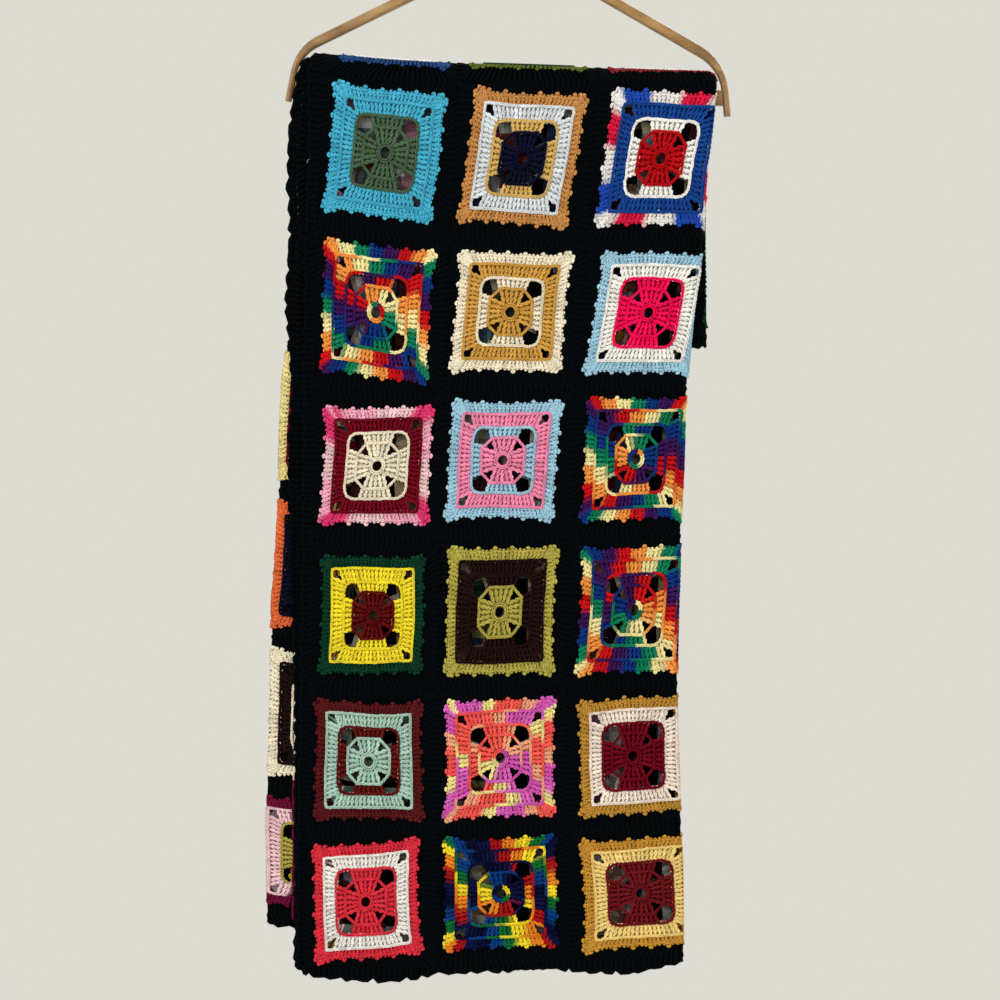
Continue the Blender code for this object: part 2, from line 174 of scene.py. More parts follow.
# Yarns, as the colours along them (sRGB, 0 to 255). A yarn of several colours changes every few stitches.
YARNS = {
    "black": ((2, 6, 10),),
    "navy black": ((14, 17, 42),),
    "sage": ((78, 104, 78),),
    "turquoise": ((76, 182, 214),),
    "straw": ((222, 182, 104),),
    "ice white": ((228, 233, 236),),
    "amber": ((202, 142, 80),),
    "red": ((190, 16, 24),),
    "white": ((255, 252, 246),),
    "royal blue": ((26, 72, 152),),
    "ochre": ((216, 164, 76),),
    "cream": ((250, 238, 212),),
    "hot pink": ((255, 18, 92),),
    "sky blue": ((166, 210, 232),),
    "burgundy": ((118, 10, 30),),
    "pink": ((255, 148, 188),),
    "maroon": ((100, 16, 20),),
    "yellow": ((255, 234, 52),),
    "forest": ((14, 60, 40),),
    "chartreuse": ((186, 174, 80),),
    "dark brown": ((34, 17, 16),),
    "mint": ((180, 214, 198),),
    "dark red": ((106, 26, 22),),
    "oxblood": ((94, 26, 28),),
    "shell": ((255, 238, 224),),
    "tan": ((196, 146, 60),),
    "coral red": ((232, 54, 72),),
    "brown red": ((118, 24, 30),),
    "peach": ((255, 222, 138),),
    "gold": ((208, 152, 58),),
    "olive": ((108, 122, 50),),
    "orange": ((232, 112, 62),),
    "lemon": ((240, 222, 150),),
    "wine": ((118, 18, 60),),
    "pale pink": ((250, 208, 216),),
    "blue grey": ((132, 152, 170),),
    "denim": ((44, 80, 140),),
    "brick": ((150, 42, 46),),
    "flag": ((34, 76, 180), (244, 240, 236), (226, 30, 70), (244, 240, 236)),
    "berry": ((232, 60, 120), (250, 176, 200), (250, 208, 214)),
    "coral": (
        (226, 92, 190),
        (228, 106, 200),
        (254, 238, 154),
        (255, 92, 86),
        (255, 102, 90),
        (252, 178, 140),
    ),
    "rainbow": (
        (208, 22, 28),
        (250, 158, 74),
        (252, 238, 170),
        (18, 134, 94),
        (16, 54, 128),
        (62, 24, 88),
    ),
    "carnival": (
        (10, 14, 52),
        (14, 20, 68),
        (176, 24, 28),
        (244, 142, 40),
        (255, 230, 50),
        (16, 114, 56),
        (12, 64, 136),
    ),
}
# Stitches for which each colour of a yarn lasts, and the yarns in which it lasts longer.
YARN_RUN = 3.2
YARN_RUNS = {"berry": 9.0, "flag": 7.0, "rainbow": 3.7, "coral": 3.4}

# Each kind of square: the yarns of its ring and of its four coloured square rounds.
SQUARES = {
    "lagoon": ("sage", "sage", "sage", "turquoise", "turquoise"),
    "amber": ("navy black", "navy black", "straw", "ice white", "amber"),
    "flag": ("red", "red", "white", "royal blue", "flag"),
    "rainbow": ("rainbow",) * 5,
    "honey": ("ochre", "ochre", "cream", "ochre", "cream"),
    "fuchsia": ("hot pink", "hot pink", "hot pink", "white", "sky blue"),
    "rose": ("cream", "cream", "cream", "burgundy", "berry"),
    "candy": ("pink", "pink", "sky blue", "pink", "sky blue"),
    "sunflower": ("maroon", "maroon", "yellow", "yellow", "forest"),
    "moss": ("chartreuse", "chartreuse", "dark brown", "dark brown", "chartreuse"),
    "spearmint": ("mint", "mint", "dark red", "mint", "oxblood"),
    "coral": ("coral",) * 5,
    "garnet": ("burgundy", "burgundy", "burgundy", "shell", "tan"),
    "poppy": ("coral red", "coral red", "coral red", "white", "coral red"),
    "carnival": ("carnival",) * 5,
    "russet": ("brown red", "brown red", "brown red", "peach", "gold"),
    "royal": ("white", "royal blue", "sky blue", "white", "denim"),
    "olive": ("gold", "olive", "cream", "forest", "olive"),
    "ruby": ("royal blue", "white", "red", "white", "brick"),
    "lemon": ("hot pink", "sky blue", "lemon", "burgundy", "lemon"),
    "ember": ("cream", "orange", "tan", "navy black", "orange"),
    "toffee": ("olive", "olive", "cream", "dark brown", "cream"),
    "vine": ("maroon", "maroon", "chartreuse", "pale pink", "wine"),
    "slate": ("red", "blue grey", "white", "pink", "blue grey"),
}

# The squares of free edge A's side, from the bottom row of the front up to the last row of the back.
FRONT = (
    ("poppy", "carnival", "russet"),
    ("spearmint", "coral", "garnet"),
    ("sunflower", "moss", "rainbow"),
    ("rose", "candy", "rainbow"),
    ("rainbow", "honey", "fuchsia"),
    ("lagoon", "amber", "flag"),
    ("royal", "olive", "ruby"),
    ("moss", "fuchsia", "sunflower"),
)
# The squares along the left fold and along free edge B, which show past free edge A.
LEFT_FOLD_SQUARES = ("vine", "toffee", "ember", "lemon", "slate", "honey", "candy", "poppy")
FREE_EDGE_B_SQUARES = ("garnet", "spearmint", "honey", "russet", "rose", "slate", "amber", "lagoon")
FRONT_COLUMNS = 3
LEFT_FOLD_COLUMN = 6
FREE_EDGE_B_COLUMN = 11
# The squares that don't show take the kinds in turn, so many kinds on for each column and row.
KINDS_PER_COLUMN = 7
KINDS_PER_ROW = 5
FIRST_KIND = 3

# The place in its yarn's list of colours at which each round of a many-coloured square starts.
# The rounds of the other squares start anywhere up to LAST_PHASE.
LAST_PHASE = 6
PHASES = {
    (0, 4): (5.8, 1.2, 5.2, 1.4, 1.7, 0.0),
    (2, 5): (0.0, 0.0, 0.0, 0.0, 0.0, 0.0),
    (2, 3): (1.5, 2.6, 3.2, 5.3, 0.6, 0.0),
    (2, 2): (2.2, 5.4, 5.0, 5.3, 4.2, 0.0),
    (1, 1): (0.0, 4.0, 3.4, 3.0, 0.0, 0.0),
    (1, 0): (4.0, 6.0, 0.2, 6.6, 6.2, 0.0),
    (0, 3): (0.0, 0.0, 0.0, 0.0, 0.7, 0.0),
}

# How squares are pulled about, by column and row: shift across and along in millimetres, growth
# across and along, and lean and slope, which are shares of the distance from its middle.
PULLS = {
    (6, 1): (2.0, -3.5, -0.05, 0.00, 0.00, 0.00),
    (6, 0): (-6.0, -2.5, -0.03, -0.12, 0.00, 0.00),
    (0, 6): (4.0, 2.5, -0.13, -0.05, 0.00, 0.035),
    (1, 6): (-1.0, 2.5, -0.06, -0.05, 0.00, 0.01),
    (2, 6): (0.0, 1.5, -0.05, -0.05, 0.00, 0.00),
    (0, 5): (-1.0, 6.0, -0.09, -0.11, 0.09, 0.07),
    (1, 5): (-1.0, 3.0, -0.09, -0.07, 0.11, 0.06),
    (2, 5): (1.0, 2.5, -0.05, -0.04, 0.08, 0.02),
    (0, 4): (-3.0, 4.5, -0.08, -0.01, 0.02, 0.07),
    (1, 4): (-3.0, 4.5, -0.06, -0.10, 0.03, 0.02),
    (2, 4): (0.5, 1.5, -0.08, -0.08, 0.08, 0.02),
    (0, 3): (0.0, 1.0, -0.06, -0.11, 0.03, -0.02),
    (1, 3): (-4.0, 5.5, -0.05, -0.11, 0.06, 0.02),
    (2, 3): (-1.5, 4.0, -0.10, -0.07, 0.04, 0.01),
    (0, 2): (-2.0, 0.0, -0.10, -0.10, 0.01, -0.02),
    (1, 2): (-3.0, 3.0, -0.05, -0.02, 0.02, 0.01),
    (2, 2): (0.5, 1.5, -0.06, -0.03, 0.03, -0.01),
    (0, 1): (-4.0, -1.0, -0.07, -0.06, -0.01, 0.00),
    (1, 1): (-3.0, 0.0, -0.05, -0.05, 0.02, -0.02),
    (2, 1): (1.0, -1.0, -0.06, -0.06, -0.01, -0.04),
    (0, 0): (-5.5, -1.5, -0.10, -0.05, -0.03, -0.09),
    (1, 0): (-3.5, 3.5, -0.03, -0.08, 0.00, 0.00),
    (2, 0): (4.5, -1.5, -0.01, -0.07, -0.02, -0.04),
}
UNPULLED = (0.0, 0.0, -0.05, -0.05, 0.0, 0.0)

# Twisted posts, in millimetres: two strands, each thickest at its middle, as shares of STRAND.
STRAND = 1.5
TWIST_ACROSS = 1.2
TWIST_LIFT = 0.8
TWIST_TURNS = 1.3
TWIST_START = math.pi / 3
TWIST_START_SPREAD = 0.6
TWIST_STEPS = 6
TWIST_END = 0.92
TWIST_SWELL = 0.12
# The ring's posts are narrower, because they stand close together.
RING_NARROWING = 0.72

# Plain posts, in millimetres: one strand with a waist, which leans and ripples a little.
PLAIN_STRAND = 1.9
PLAIN_DROP = 0.2
PLAIN_STEPS = 4
WAIST = 0.22
LEAN = 0.25
RIPPLE = 0.3
RIPPLE_PHASE = 0.8
# The black round's posts are lower than the rest, and start thin on top of the coloured tips.
BLACK_STRAND = 2.1
BLACK_DROP = 0.4
TOOTH_REACH = 0.2
TOOTH_LIFT = 0.6
TOOTH_THINNING = 0.5

# How far each round's posts start inside the round before, and how unevenly stitches are placed.
POST_OVERLAP = 1.4
POST_OVERLAPS = (0.0, 0.6, POST_OVERLAP, POST_OVERLAP, POST_OVERLAP, TOOTH_REACH)
POST_JITTER = 0.25
CHAIN_JITTER = 0.2
POST_SIDES = 4
CHAIN_SIDES = 3

# Chains between rounds, in millimetres. A link's two strands open like a V: how far apart, how high and
# how thick they are at its start, middle and end.
CHAIN_STRAND = 1.02
CHAIN_SPREAD = 0.85
CHAIN_LIFT = 1.5
LINK_OVERLAP = 0.22
LINK_OPENING = (0.1, 0.75, 1.0)
LINK_LIFTS = (-0.25, 0.3, -0.1)
LINK_SIZES = (0.75, 1.1, 0.8)
PLAIN_CHAIN_STRAND = 1.5
PLAIN_CHAIN_LIFT = 1.0
PLAIN_LINK_OVERLAP = 0.1
# The two strands round the middle hole: radius and thickness.
RING_STRANDS = ((6.5, 1.45), (8.6, 1.45))

# Tips of the last coloured round, in millimetres: how far a lobe stands out, on the sides and in a corner.
LOBE_EVERY = 4
LOBE_REACH = 1.1
CORNER_LOBES = (0.9, 1.1, -1.2, 1.1, 0.9)
LOBE_JITTER = 0.3
TIP_INSET = 1.2
# The loop across each tip: half its span, its strand and its bulge, on a plain tip and on a lobe, and how it
# arches, lies and thickens from its start to its end.
LOOP = (1.7, 1.2, 0.3)
LOBE = (2.7, 1.8, 1.2)
LOOP_LIFT = 0.6
LOOP_ARCH = (0.0, 1.0, 1.0, 0.0)
LOOP_LIFTS = (-0.7, 0.3, 0.3, -0.7)
LOOP_SIZES = (0.8, 1.1, 1.1, 0.8)
# The chain just inside the tips.
EDGE_CHAIN = 1.7
EDGE_CHAIN_DIP = 1.6
EDGE_CHAIN_LIFT = 0.7

# Corner posts: how far their inner ends lie past a side's level, and how far apart they spread.
CORNER_START = 0.7
CORNER_SPREAD = 1.3

# The backing, in millimetres: each round's is a step higher, and reaches past its posts' ends.
BACKING_STEP = 0.12
BACKING_STARTS = (0.0, 1.2, 1.2, 1.2, 1.2, 1.0)
BACKING_ENDS = (1.2, 1.2, 1.2, 1.2, -0.3, 0.3)
# The round whose corner holes are closed in squares that don't show.
CORNER_HOLE_ROUND = 3
# The columns whose squares lie on a fold, and how many faces their backing has along each post.
FOLDED_COLUMNS = (2, 6, 9)
FOLD_CUTS = 3

# Shares of the yarn's colour: the backing's painted shade for the gaps between posts, the range of painted
# shadow on hidden squares and how much it greys them, how much stitches differ, and where one colour of a
# yarn starts to turn into the next.
BACKING_PAINTED_SHADE = 0.50
HIDDEN_PAINTED_SHADOWS = (0.10, 0.34)
HIDDEN_SHADOW_DULLNESS = 0.35
STITCH_VARIATION = 0.08
LIGHTEST_DARKEST = (0.75, 1.3)
BLEND_STARTS = 0.72

# How far the crochet wobbles and each square swells, in millimetres.
WOBBLE = 0.9
WOBBLE_LENGTH = 17.0
WOBBLE_CHANGE = 60.0
PUFF = 0.7

# Maps: a turn of the plies in millimetres, plies across a backing face, and the margin of a map cell.
PLY_LENGTH = 3.2
FACE_PLIES = 2.0
FACE_CORNERS = ((0, 0), (0, 1), (1, 1), (1, 0))
CELL_MARGIN = 0.12

# The crocheted edging, in millimetres: width of a stitch, stitches to a scallop, and a scallop's depth.
EDGING_STITCH = 5.4
EDGING_CORNER_POSTS = 4
EDGING_INSET = 2.6
EDGING_CHAIN = 1.9
EDGING_LIFT = 0.2
EDGING_JITTER = 0.3
EDGE_UNEVENNESS = 0.7
SCALLOP_STITCHES = 3
SCALLOP = 2.4
# How far the bottom edge sags below its squares: distance from free edge A, sag, both in millimetres.
HEM = (
    (0, -5.0),
    (20, 0.0),
    (60, 4.5),
    (105, 3.5),
    (140, -1.0),
    (200, -1.5),
    (260, -1.0),
    (300, 5.0),
    (350, 5.0),
    (385, -2.0),
    (420, 0.0),
    (460, 0.0),
)
HEM_DEPTH = 8.0

# Rows that show on the front, and on the layer that shows at the back below the last row.
FRONT_ROWS = 6
BACK_LOWER_ROWS = 5
# Stitches, in millimetres: whether they are fine, how high they lie above the middle of the cloth, and the
# stretch across a square that has them.
WHOLE_SQUARE = (-100.0, 100.0)
ON_FRONT = (True, 0.8, WHOLE_SQUARE)
ON_BACK_UPPER = (False, 0.6, WHOLE_SQUARE)
ON_BACK_LOWER = (False, 0.5, WHOLE_SQUARE)
ON_LEFT_FOLD = (True, 0.2, (-100.0, -24.0))
ON_FREE_EDGE_B = (False, 0.0, (28.0, 100.0))

# Colours along the grain of the wood, the wire and the floor, each with its place (sRGB, 0 to 255).
WOOD_TONES = ((0.25, (104, 74, 38)), (0.50, (148, 110, 62)), (0.75, (176, 138, 86)))
WIRE_TONES = ((0.3, (168, 170, 174)), (0.7, (208, 208, 210)))
FLOOR_TONES = ((0.3, (206, 204, 196)), (0.7, (216, 214, 206)))
# The wave texture turns this many radians for each unit of length, so one band takes 2 pi of them.
WAVE_RADIANS = 10

# The view, the floor and the room. Lights: name, offset from the blanket's middle, size and power.
CAMERA_DISTANCE = 2.2
SENSOR_WIDTH = 36.0
VIEW_WIDTH = 1.0
VIEW_ACROSS = -0.018
VIEW_HEIGHT = -0.631
FLOOR_RADIUS = 1.4
FLOOR_SIDES = 96
FLOOR_DROP = 0.40
ROOM_COLOUR = (221, 219, 210)
LIGHTS = (
    ("key", (-1.5, -2.3, 1.3), 1.6, 46.0),
    ("fill", (1.9, -1.9, 0.2), 1.6, 15.0),
    ("behind", (0.9, 2.4, 1.2), 1.8, 38.0),
)

RANDOM_SEED = 20
random = np.random.default_rng(RANDOM_SEED)


def smooth_table(table, at):
    """Every column of a table at each given place.

    The curve through the table's rows is smooth, and goes straight on past its ends.
    """
    table = np.array(table, float)
    keys = table[:, 0]
    slopes = np.gradient(table[:, 1:], keys, axis=0)
    at = np.asarray(at, float)
    row = np.clip(np.searchsorted(keys, at) - 1, 0, len(keys) - 2)
    step = (keys[row + 1] - keys[row])[..., None]
    share = (at - keys[row])[..., None] / step
    inside = np.clip(share, 0.0, 1.0)
    past = share - inside
    value = (
        table[row, 1:] * (1 + 2 * inside) * (1 - inside) ** 2
        + table[row + 1, 1:] * inside**2 * (3 - 2 * inside)
        + slopes[row] * step * inside * (1 - inside) ** 2
        - slopes[row + 1] * step * inside**2 * (1 - inside)
    )
    return value + past * step * np.where(past < 0, slopes[row], slopes[row + 1])


def mix(first, second, share):
    return first + (second - first) * share


def smooth_step(start, end, at):
    share = np.clip((at - start) / (end - start), 0.0, 1.0)
    return share * share * (3 - 2 * share)


def cloth_drop(across, row):
    """Length of cloth from the top line down to each place of the flat blanket."""
    edge_a, right = np.moveaxis(smooth_table(DROPS, row), -1, 0)
    left = edge_a - LEFT_FOLD_LIFT
    edge_b = edge_a - FREE_EDGE_B_LIFT
    drops = np.stack([edge_a, right, right, left, left, right, right, edge_b], axis=-1)
    stretch = np.clip(np.searchsorted(STRETCHES, across, side="right") - 1, 0, len(STRETCHES) - 2)
    start = STRETCHES[stretch]
    share = np.clip((across - start) / (STRETCHES[stretch + 1] - start), 0.0, 1.0)
    before = np.take_along_axis(drops, stretch[..., None], -1)[..., 0]
    after = np.take_along_axis(drops, stretch[..., None] + 1, -1)[..., 0]
    return mix(before, after, share)


def fold(turn, middle, radius, out, up, facing):
    """A fold round a middle at a depth. The cloth's right side faces away from it, or towards it at -1."""
    return turn + radius * out, middle + radius * up, facing * out, facing * up


def cloth_section(across, drop):
    """(x, depth, normal's x, normal's depth) of the cloth's middle. Depth 0 is the face next to the bar."""
    edge_a, right_fold, left_fold, edge_b = np.moveaxis(smooth_table(SIDES, drop), -1, 0)
    right_turn = right_fold - WIDE_TURN - CLOTH / 2
    left_turn = left_fold + TIGHT_TURN + CLOTH / 2
    inner_turn = right_turn - INNER_FOLD_BACK
    first = CLOTH / 2
    flat = np.zeros_like(across)
    layers = [flat + first + number * LAYER_PITCH for number in range(4)]
    inner_middle = first + LAYER_PITCH + TIGHT_TURN
    # Angles round the folds, and shares of the way along the flat stretches between them.
    outer, left, inner = [(across - start) / turn for start, turn in FOLDS]
    ends = zip(STRETCHES[::2], STRETCHES[1::2])
    to_outer, to_left, to_inner, to_edge_b = [(across - start) / (end - start) for start, end in ends]
    stretches = (
        (mix(edge_a, right_turn, to_outer), layers[3], flat, flat + 1),
        fold(right_turn, first + WIDE_TURN, WIDE_TURN, np.sin(outer), np.cos(outer), 1),
        (mix(right_turn, left_turn, to_left), layers[0], flat, flat - 1),
        fold(left_turn, first + TIGHT_TURN, TIGHT_TURN, -np.sin(left), -np.cos(left), 1),
        (mix(left_turn, inner_turn, to_inner), layers[1], flat, flat + 1),
        fold(inner_turn, inner_middle, TIGHT_TURN, np.sin(inner), -np.cos(inner), -1),
        (mix(inner_turn, edge_b, to_edge_b), layers[2], flat, flat - 1),
    )
    before = [across <= end for end in FOLD_PLACES]
    before.append(np.ones_like(across, bool))
    return [np.select(before, list(parts)) for parts in zip(*stretches)]


def wave_depth(x, z):
    """How far the slow waves move the cloth forwards or back."""
    grown = smooth_step(WAVE_STARTS, WAVE_FULL, z)
    waves = [
        size * np.sin(2 * math.pi * (x / across + z / down) + phase)
        for size, across, down, phase in WAVES
    ]
    return grown * sum(waves)


def hang(across, row, height):
    """Where places of the flat blanket hang, each a height above the cloth's middle on its right side."""
    drop = cloth_drop(across, row)
    x, depth, normal_x, normal_depth = cloth_section(across, drop)
    x = x + height * normal_x
    radius = INNER_RADIUS + depth + height * normal_depth
    centre = smooth_table(CREST, x)[..., 0] - OUTER_RADIUS
    fall = np.abs(drop)
    angle = drop / ARC_RADIUS
    z_below = centre - (fall - QUARTER_ARC)
    y_below = -np.copysign(radius, drop) + wave_depth(x, z_below)
    on_bar = fall < QUARTER_ARC
    y = np.where(on_bar, -radius * np.sin(angle), y_below)
    z = np.where(on_bar, centre + radius * np.cos(angle), z_below)
    return np.stack([x, y, z], axis=-1)


def linear(colour):
    """A colour given as sRGB from 0 to 255, in linear light."""
    share = np.array(colour, float) / 255
    return np.where(share <= 0.04045, share / 12.92, ((share + 0.055) / 1.055) ** 2.4)


def yarn_colours(name, count, start):
    """The colour of each of count stitches along a yarn, from the place start in its list of colours."""
    colours = np.array([linear(colour) for colour in YARNS[name]])
    place = start + np.arange(count) / YARN_RUNS.get(name, YARN_RUN)
    first = np.floor(place).astype(int)
    blend = smooth_step(BLEND_STARTS, 1.0, place - first)[:, None]
    here = colours[first % len(colours)]
    after = colours[(first + 1) % len(colours)]
    shade = 1 + random.normal(0.0, STITCH_VARIATION, (count, 1))
    return mix(here, after, blend) * np.clip(shade, *LIGHTEST_DARKEST)


def jittered(points, size):
    return points + random.normal(0.0, size, points.shape)


def directions(inner, outer):
    """Unit direction of each post, from its inner end to its outer end."""
    run = outer - inner
    return run / np.linalg.norm(run, axis=1, keepdims=True)


def at_height(flat, height):
    level = np.full((*flat.shape[:-1], 1), height)
    return np.concatenate([flat, level], axis=-1)


def turned(points, side):
    """Flat points of a square turned by quarter turns, from its top side to the given side."""
    across, along = points[..., 0], points[..., 1]
    quarter = ((across, along), (along, -across), (-across, -along), (-along, across))[side]
    return np.stack(quarter, axis=-1)


def ring_rays():
    """Posts of the first round, as inner and outer ends."""
    angles = 2 * math.pi * (np.arange(RING_STITCHES) + 0.5) / RING_STITCHES
    rays = np.stack([np.sin(angles), np.cos(angles)], axis=-1)
    return rays * RING_INNER, rays * RING_OUTER


def side_posts(index):
    """Posts on the top side of a square round, then those in its right corner, as inner and outer ends."""
    level_in, level_out, reach_in, reach_out, on_side, in_corner = ROUNDS[index]
    share = np.linspace(-1, 1, on_side)
    inner = np.stack([share * reach_in, np.full(on_side, level_in)], axis=-1)
    outer = np.stack([share * reach_out, np.full(on_side, level_out)], axis=-1)
    if index == 0:
        inner[:, 1] = np.sqrt(level_in**2 - inner[:, 0] ** 2)
    if not in_corner:
        return inner, outer
    turn = np.linspace(-CORNER_SPREAD, CORNER_SPREAD, in_corner)
    start = np.stack([level_in + CORNER_START + turn, level_in + CORNER_START - turn], axis=-1)
    corner = np.array(CORNERS[index], float)
    places = np.linspace(0, len(corner) - 1, in_corner)
    tips = [np.interp(places, np.arange(len(corner)), corner[:, axis]) for axis in (0, 1)]
    return np.vstack([inner, start]), np.vstack([outer, np.stack(tips, axis=-1)])


def round_posts(index):
    """Inner and outer ends of all the posts of a square round, clockwise from its top side."""
    inner, outer = side_posts(index)
    sides = [(turned(inner, side), turned(outer, side)) for side in range(4)]
    return np.vstack([side[0] for side in sides]), np.vstack([side[1] for side in sides])


def round_chain(index):
    """Points of the chain along a square round's outer edge, clockwise and closed."""
    this = ROUNDS[index]
    share = np.linspace(-1, 1, this.on_side)
    top = np.stack([share * this.reach_out, np.full(this.on_side, this.level_out)], axis=-1)
    top = np.vstack([top, np.array(CORNERS[index], float)])
    return np.vstack([turned(top, side) for side in range(4)])


def rounds_of(kind):
    """Each round's posts, chain and yarn, from the middle of a square outwards."""
    yarns = [*SQUARES[kind], "black"]
    inner, outer = ring_rays()
    rounds = [(inner, outer, outer, yarns[0])]
    for index, yarn in enumerate(yarns[1:]):
        rounds.append((*round_posts(index), round_chain(index), yarn))
    return rounds


def strands(start, end, sideways, lift, radius, sides):
    """Tubes from start to end, as an array (strand, step, side, 3).

    At each of their steps they have a shift sideways, a lift and a radius.
    """
    steps = lift.shape[1]
    share = np.linspace(0, 1, steps)[None, :, None]
    run = end - start
    along = run / np.maximum(np.linalg.norm(run, axis=-1, keepdims=True), 1e-6)
    across = np.stack([-along[:, 1], along[:, 0]], axis=-1)
    centre = start[:, None] + run[:, None] * share + across[:, None] * sideways[..., None]
    turn = 2 * math.pi * (np.arange(sides) + 0.5) / sides
    out = radius[..., None] * np.cos(turn)
    up = radius[..., None] * np.sin(turn)
    flat = centre[:, :, None] + across[:, None, None] * out[..., None]
    return np.concatenate([flat, (lift[..., None] + up)[..., None]], axis=-1)


def twisted_posts(inner, outer, lift, narrowing):
    """Two strands twisted round each other along each post."""
    along = np.linspace(0, 1, TWIST_STEPS)
    spread = random.uniform(-TWIST_START_SPREAD, TWIST_START_SPREAD, (len(inner), 1))
    thickness = TWIST_END + TWIST_SWELL * np.sin(math.pi * along)
    groups = []
    for half in (0.0, math.pi):
        angle = spread + TWIST_START + half + 2 * math.pi * TWIST_TURNS * along[None]
        sideways = TWIST_ACROSS * narrowing * np.cos(angle)
        lifts = lift + TWIST_LIFT * np.sin(angle)
        radius = STRAND * narrowing * thickness[None] * np.ones_like(angle)
        groups.append(strands(inner, outer, sideways, lifts, radius, POST_SIDES))
    return groups


def plain_posts(inner, outer, lift, radius, tooth=0.0):
    """One thick strand for each post, with a waist. A tooth starts thin and as high as it says."""
    along = np.linspace(0, 1, PLAIN_STEPS)
    every = np.ones((len(inner), 1))
    thin = TOOTH_THINNING if tooth else 0.0
    swell = radius * (1.0 - WAIST * np.sin(math.pi * along) - thin * (1 - along) ** 2)[None] * every
    lean = random.normal(0.0, LEAN, (len(inner), 1)) * np.cos(math.pi * along)[None]
    ripple = RIPPLE * np.sin(2 * math.pi * along + RIPPLE_PHASE)
    lifts = lift + (ripple + tooth * (1 - along) ** 2)[None] * every
    return [strands(inner, outer, lean, lifts, swell, POST_SIDES)]


def chain_links(points, lift, radius):
    """A chain through closed points: at each link two strands open from its start like a V."""
    ends = np.roll(points, -1, axis=0)
    reach = (ends - points) * LINK_OVERLAP
    every = np.ones((len(points), 1))
    opened = np.array([LINK_OPENING]) * every
    lifts = lift + np.array([LINK_LIFTS]) * every
    size = radius * np.array([LINK_SIZES]) * every
    return [
        strands(points - reach, ends + reach, side * CHAIN_SPREAD * opened, lifts, size, CHAIN_SIDES)
        for side in (-1, 1)
    ]


def plain_chain(points, lift, radius):
    """A chain through closed points: one straight strand for each link."""
    ends = np.roll(points, -1, axis=0)
    reach = (ends - points) * PLAIN_LINK_OVERLAP
    level = np.zeros((len(points), 2))
    return [strands(points - reach, ends + reach, level, lift + level, radius + level, CHAIN_SIDES)]


def tip_loops(tips, run, is_lobe, lift, sides):
    """A short strand across the tip of each post, bent outwards, and larger in a lobe."""
    span, strand, bulge = [np.where(is_lobe, *pair) for pair in zip(LOBE, LOOP)]
    across = np.stack([run[:, 1], -run[:, 0]], axis=-1) * span
    bulges = bulge * np.array([LOOP_ARCH])
    lifts = lift + np.array([LOOP_LIFTS]) * np.ones_like(bulges)
    size = strand * np.array([LOOP_SIZES])
    return [strands(tips - across, tips + across, bulges, lifts, size, sides)]


class Cloth:
    """Gathers tubes and faces laid out on the flat blanket. Each tube or face has one colour of yarn, which
    on the backing's faces is darkened as painted shade.
    """

    def __init__(self):
        self.tubes = []
        self.faces = []

    def add_tubes(self, groups, colours, to_blanket):
        self.tubes += [(to_blanket(group), colours) for group in groups if len(group)]

    def add_faces(self, corners, colours, to_blanket):
        self.faces.append((to_blanket(corners), colours))


def tube_corners(count, steps, sides, first):
    """Four corner numbers for each face of count open tubes, and each corner's share along and around."""
    point = first + np.arange(count * steps * sides).reshape(count, steps, sides)
    after = np.roll(point, -1, axis=2)
    quads = np.stack([point[:, :-1], after[:, :-1], after[:, 1:], point[:, 1:]], axis=-1)
    along, around = np.meshgrid(np.arange(steps - 1), np.arange(sides), indexing="ij")
    share_along = np.stack([along, along, along + 1, along + 1], axis=-1) / (steps - 1)
    share_around = np.stack([around, around + 1, around + 1, around], axis=-1) / sides
    shares = np.stack([share_along, share_around], axis=-1)
    return quads.reshape(-1, 4), np.broadcast_to(shares, (count, *shares.shape)).reshape(count, -1, 2)


def tube_parts(group, first):
    """Corner numbers of a group of tubes, and each corner's place on its tube and in turns of ply."""
    quads, shares = tube_corners(*group.shape[:3], first)
    span = np.abs(group[:, -1, 0] - group[:, 0, 0])
    length = 2 * HALF_CELL * span[:, 1] + MILLIMETRES * span[:, 0]
    turns = np.stack([length / PLY_LENGTH, np.ones(len(group))], axis=-1)[:, None]
    return quads, shares, shares * turns


def face_parts(group, first):
    """Corner numbers of a group of faces, and each corner's place on its face and in plies."""
    quads = first + np.arange(4 * len(group)).reshape(-1, 4)
    shares = np.broadcast_to(np.array(FACE_CORNERS, float), (len(group), 4, 2))
    return quads, shares, shares * FACE_PLIES


def in_cells(shares, first, cells):
    """Map places that give each strand, in order from first, its own cell of a square grid of cells."""
    number = first + np.arange(len(shares))
    origin = np.stack([number % cells, number // cells], axis=-1)[:, None]
    return ((origin + CELL_MARGIN + shares * (1 - 2 * CELL_MARGIN)) / cells).reshape(-1, 2)


def gathered(cloth):
    """All of a cloth's points, corner numbers, bake map, ply map and colours."""
    groups = [(tube_parts, *group) for group in cloth.tubes]
    groups += [(face_parts, *group) for group in cloth.faces]
    cells = math.ceil(math.sqrt(sum(len(colours) for _, _, colours in groups)))
    rows = []
    many, made = 0, 0
    for parts_of, group, colours in groups:
        points = group.reshape(-1, 3)
        quads, shares, plies = parts_of(group, many)
        shades = np.repeat(colours, len(points) // len(colours), axis=0)
        rows.append((points, quads, in_cells(shares, made, cells), plies.reshape(-1, 2), shades))
        many += len(points)
        made += len(colours)
    return [np.vstack(column) for column in zip(*rows)]


def add_object(name, data):
    made = bpy.data.objects.new(name, data)
    bpy.context.scene.collection.objects.link(made)
    return made


